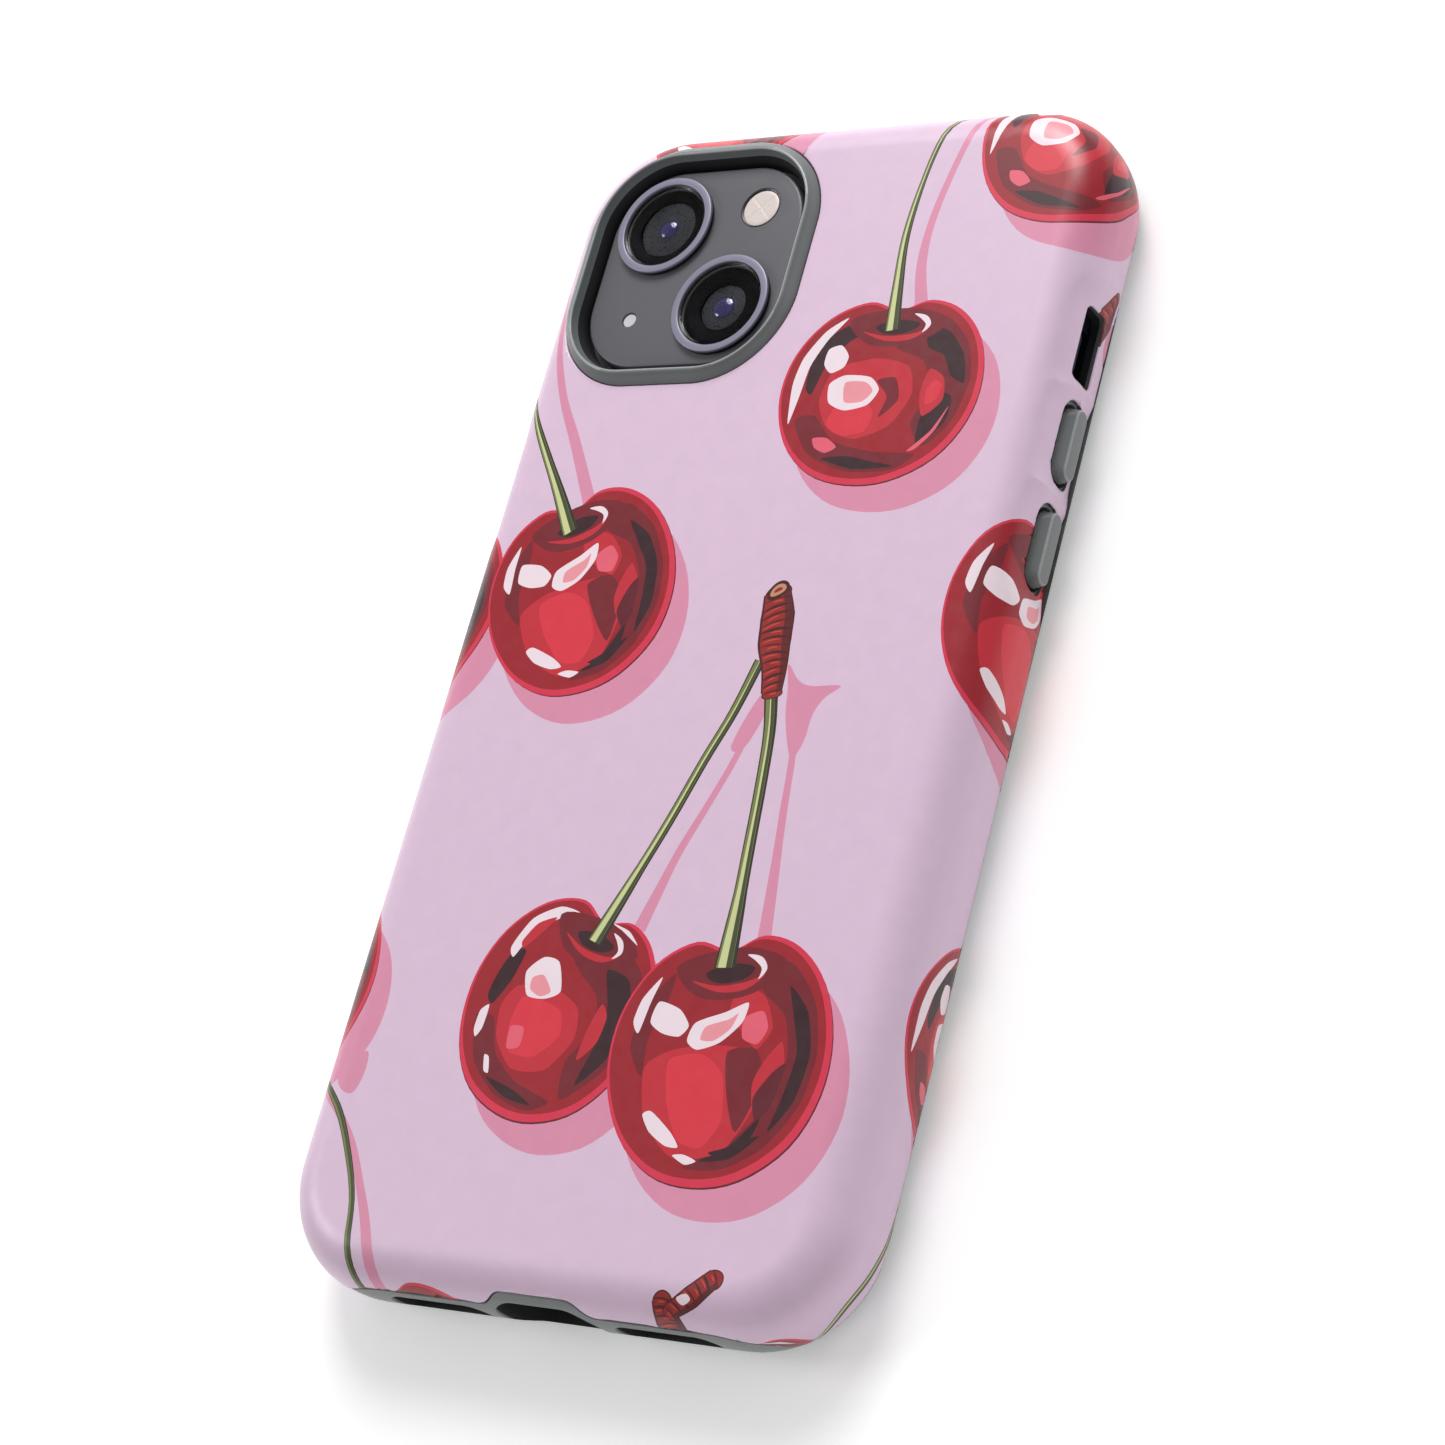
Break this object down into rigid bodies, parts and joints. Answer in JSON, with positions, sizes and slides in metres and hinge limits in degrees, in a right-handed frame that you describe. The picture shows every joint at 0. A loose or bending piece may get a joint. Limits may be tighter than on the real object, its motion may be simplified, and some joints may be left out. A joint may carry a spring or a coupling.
{
  "type": "phone in a two-layer protective case",
  "caption": "Mobile phone in a two-layer case: a hard printed shell over a soft liner with a raised camera surround and key covers.",
  "frame": {"origin": "middle of the resting plane: the flat of the front lip that the case lies on, under the middle of the case", "axes": "+Z out of the case's back, +Y towards the phone's top end, +X towards the side with the volume keys"},
  "size_m": [0.0772, 0.1524, 0.0134],
  "materials": {
    "printed_shell": "satin, printed all over with a fruit pattern",
    "soft_liner": "fine matt",
    "anodised_metal": "satin, anodised dark blue-grey",
    "ring_metal": "satin, anodised lavender-grey",
    "matte_glass": "matt, opaque from a coat on its inside",
    "dark_glass": "polished, opaque",
    "black_plastic": "matt",
    "flash_plastic": "frosted",
    "steel": "fine satin",
    "board": "matt",
    "cell_film": "satin film",
    "copper": "enamelled copper wire"
  },
  "bodies": {
    "case_and_phone": {"outer_shell": "printed_shell", "inner_liner": "soft_liner", "volume_up_switch": "black_plastic", "volume_down_switch": "black_plastic", "side_key_switch": "black_plastic", "phone_frame": "anodised_metal", "sim_tray": "anodised_metal", "display_glass": "dark_glass", "display_panel": "black_plastic", "earpiece_mesh": "black_plastic", "back_glass": "matte_glass", "lens_ring_1": "ring_metal", "lens_ring_2": "ring_metal", "lens_cover_1": "dark_glass", "lens_cover_2": "dark_glass", "lens_bezel_1": "steel", "lens_bezel_2": "steel", "camera_module_1": "black_plastic", "camera_module_2": "black_plastic", "flash_lens": "flash_plastic", "rear_mic_mesh": "steel", "battery": "cell_film", "logic_board": "board", "charging_coil": "copper", "magnet_ring": "steel", "loudspeaker": "black_plastic", "haptic_motor": "steel", "front_camera": "black_plastic", "earpiece_speaker": "black_plastic", "port_shell": "steel", "port_tongue": "black_plastic", "end_screw_left": "steel", "end_screw_right": "steel", "speaker_mesh": "black_plastic", "microphone_mesh": "black_plastic"},
    "volume_up": {"volume_up_cover": "soft_liner", "volume_up_button": "anodised_metal"},
    "volume_down": {"volume_down_cover": "soft_liner", "volume_down_button": "anodised_metal"},
    "side_key": {"side_key_cover": "soft_liner", "side_key_button": "anodised_metal"},
    "ringer": {"ringer_switch": "anodised_metal"}
  },
  "joints": [
    {"name": "volume_up_press", "type": "slide", "parent": "case_and_phone", "child": "volume_up", "axis": [-1, 0, 0], "range_m": [0, 0.0003], "stiffness_N_per_m": 1000},
    {"name": "volume_down_press", "type": "slide", "parent": "case_and_phone", "child": "volume_down", "axis": [-1, 0, 0], "range_m": [0, 0.0003], "stiffness_N_per_m": 1000},
    {"name": "side_key_press", "type": "slide", "parent": "case_and_phone", "child": "side_key", "axis": [1, 0, 0], "range_m": [0, 0.0003], "stiffness_N_per_m": 1000},
    {"name": "ringer_slide", "type": "slide", "parent": "case_and_phone", "child": "ringer", "axis": [0, 0, -1], "range_m": [0, 0.0012]}
  ]
}
